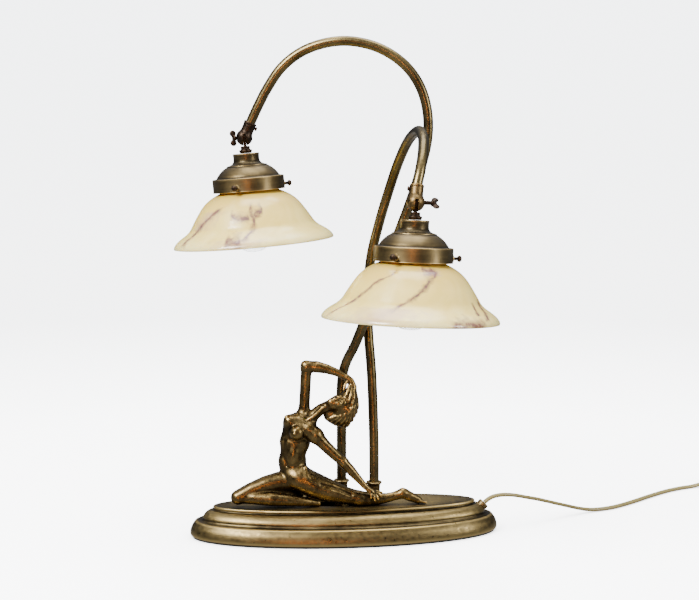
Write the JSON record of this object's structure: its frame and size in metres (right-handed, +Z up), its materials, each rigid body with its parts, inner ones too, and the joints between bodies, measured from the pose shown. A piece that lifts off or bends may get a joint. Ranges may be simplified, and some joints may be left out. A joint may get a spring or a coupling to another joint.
{
  "type": "two-arm table lamp",
  "caption": "Art deco table lamp: cast oval base with a bronze dancer, curved brass arms, tilting heads with marbled glass bell shades, flex with switch and plug.",
  "frame": {"origin": "centre of the felt's underside, on the table", "axes": "+Z up, +X along the base's long axis towards the cable gland, +Y away from the viewer who faces the figure"},
  "size_m": [0.7553, 0.3912, 0.5018],
  "materials": {
    "cast_bronze": "Cast, patinated and hand rubbed; rough grain on the base, polished high spots",
    "dark_bronze": "Dark brown patina, satin",
    "antique_brass": "Antique brass, brushed along the tube, lacquered",
    "aged_brass": "Aged brass, brushed round, edges rubbed bright",
    "cream_glass": "Pressed opal glass, cream, with purple-brown marbled veins, satin",
    "bulb_glass": "Clear glass, thin",
    "plated_steel": "Nickel plated",
    "black_plastic": "Moulded, matt",
    "gold_flex": "Gold coloured PVC",
    "black_felt": "Felt"
  },
  "bodies": {
    "stand": {"felt_pad": "black_felt", "base_casting": "cast_bronze", "dancer_figure": "cast_bronze", "terminal_block": "black_plastic", "cable_gland": "antique_brass", "gland_nut": "antique_brass", "arm_1_collar": "dark_bronze", "arm_2_collar": "dark_bronze", "arm_1_lock_nut": "antique_brass", "arm_2_lock_nut": "antique_brass", "arm_1_tube": "antique_brass", "arm_2_tube": "antique_brass", "arm_1_lead": "gold_flex", "arm_2_lead": "gold_flex", "knuckle_1_body": "dark_bronze", "knuckle_2_body": "dark_bronze", "knuckle_1_grub_screw": "dark_bronze", "knuckle_2_grub_screw": "dark_bronze", "cord_lead": "gold_flex", "cord_link": "gold_flex", "cord_coil": "gold_flex", "cord_tail": "gold_flex", "switch_body": "gold_flex", "plug_body": "gold_flex", "plug_pin_a": "plated_steel", "plug_pin_b": "plated_steel"},
    "head_1": {"swivel_1_stem": "dark_bronze", "gallery_1": "aged_brass", "gallery_1_ring_nut": "antique_brass", "glass_shade_1": "cream_glass", "lampholder_1": "black_plastic", "bulb_1_cap": "plated_steel", "bulb_1_glass": "bulb_glass"},
    "head_2": {"swivel_2_stem": "dark_bronze", "gallery_2": "aged_brass", "gallery_2_ring_nut": "antique_brass", "glass_shade_2": "cream_glass", "lampholder_2": "black_plastic", "bulb_2_cap": "plated_steel", "bulb_2_glass": "bulb_glass"},
    "wing_1": {"wing_screw_1": "dark_bronze"},
    "wing_2": {"wing_screw_2": "dark_bronze"},
    "rocker": {"switch_rocker": "black_plastic"},
    "thumb_1a": {"thumb_screw_1a": "dark_bronze"},
    "thumb_1b": {"thumb_screw_1b": "dark_bronze"},
    "thumb_1c": {"thumb_screw_1c": "dark_bronze"},
    "thumb_2a": {"thumb_screw_2a": "dark_bronze"},
    "thumb_2b": {"thumb_screw_2b": "dark_bronze"},
    "thumb_2c": {"thumb_screw_2c": "dark_bronze"}
  },
  "joints": [
    {"name": "head_1_tilt", "type": "hinge", "parent": "stand", "child": "head_1", "pos_m": [-0.0986, 0.036, 0.4018], "axis": [0.9965, 0, 0.0837], "range_deg": [-60, 60]},
    {"name": "head_2_tilt", "type": "hinge", "parent": "stand", "child": "head_2", "pos_m": [0.0508, -0.1311, 0.341], "axis": [0.999, 0, -0.0454], "range_deg": [-60, 10]},
    {"name": "wing_1_turn", "type": "hinge", "parent": "stand", "child": "wing_1", "pos_m": [-0.0986, 0.036, 0.4018], "axis": [-0.9965, 0, -0.0837], "range_deg": [-180, 0]},
    {"name": "wing_2_turn", "type": "hinge", "parent": "stand", "child": "wing_2", "pos_m": [0.0508, -0.1311, 0.341], "axis": [0.999, 0, -0.0454], "range_deg": [-180, 0]},
    {"name": "thumb_1a_out", "type": "slide", "parent": "head_1", "child": "thumb_1a", "axis": [0.9868, 0.1392, 0.0829], "range_m": [0, 0.005]},
    {"name": "thumb_1b_out", "type": "slide", "parent": "head_1", "child": "thumb_1b", "axis": [-0.6135, 0.788, -0.0515], "range_m": [0, 0.005]},
    {"name": "thumb_1c_out", "type": "slide", "parent": "head_1", "child": "thumb_1c", "axis": [-0.3733, -0.9272, -0.0313], "range_m": [0, 0.005]},
    {"name": "thumb_2a_out", "type": "slide", "parent": "head_2", "child": "thumb_2a", "axis": [0.9966, -0.0697, -0.0429], "range_m": [0, 0.005]},
    {"name": "thumb_2b_out", "type": "slide", "parent": "head_2", "child": "thumb_2b", "axis": [-0.4393, 0.8983, -0.0099], "range_m": [0, 0.005]},
    {"name": "thumb_2c_out", "type": "slide", "parent": "head_2", "child": "thumb_2c", "axis": [-0.5574, -0.8286, 0.0528], "range_m": [0, 0.005]},
    {"name": "switch_rock", "type": "hinge", "parent": "stand", "child": "rocker", "pos_m": [0.48, 0.157, 0.014], "axis": [-0.2079, 0.9781, 0], "range_deg": [-16, 0]}
  ]
}
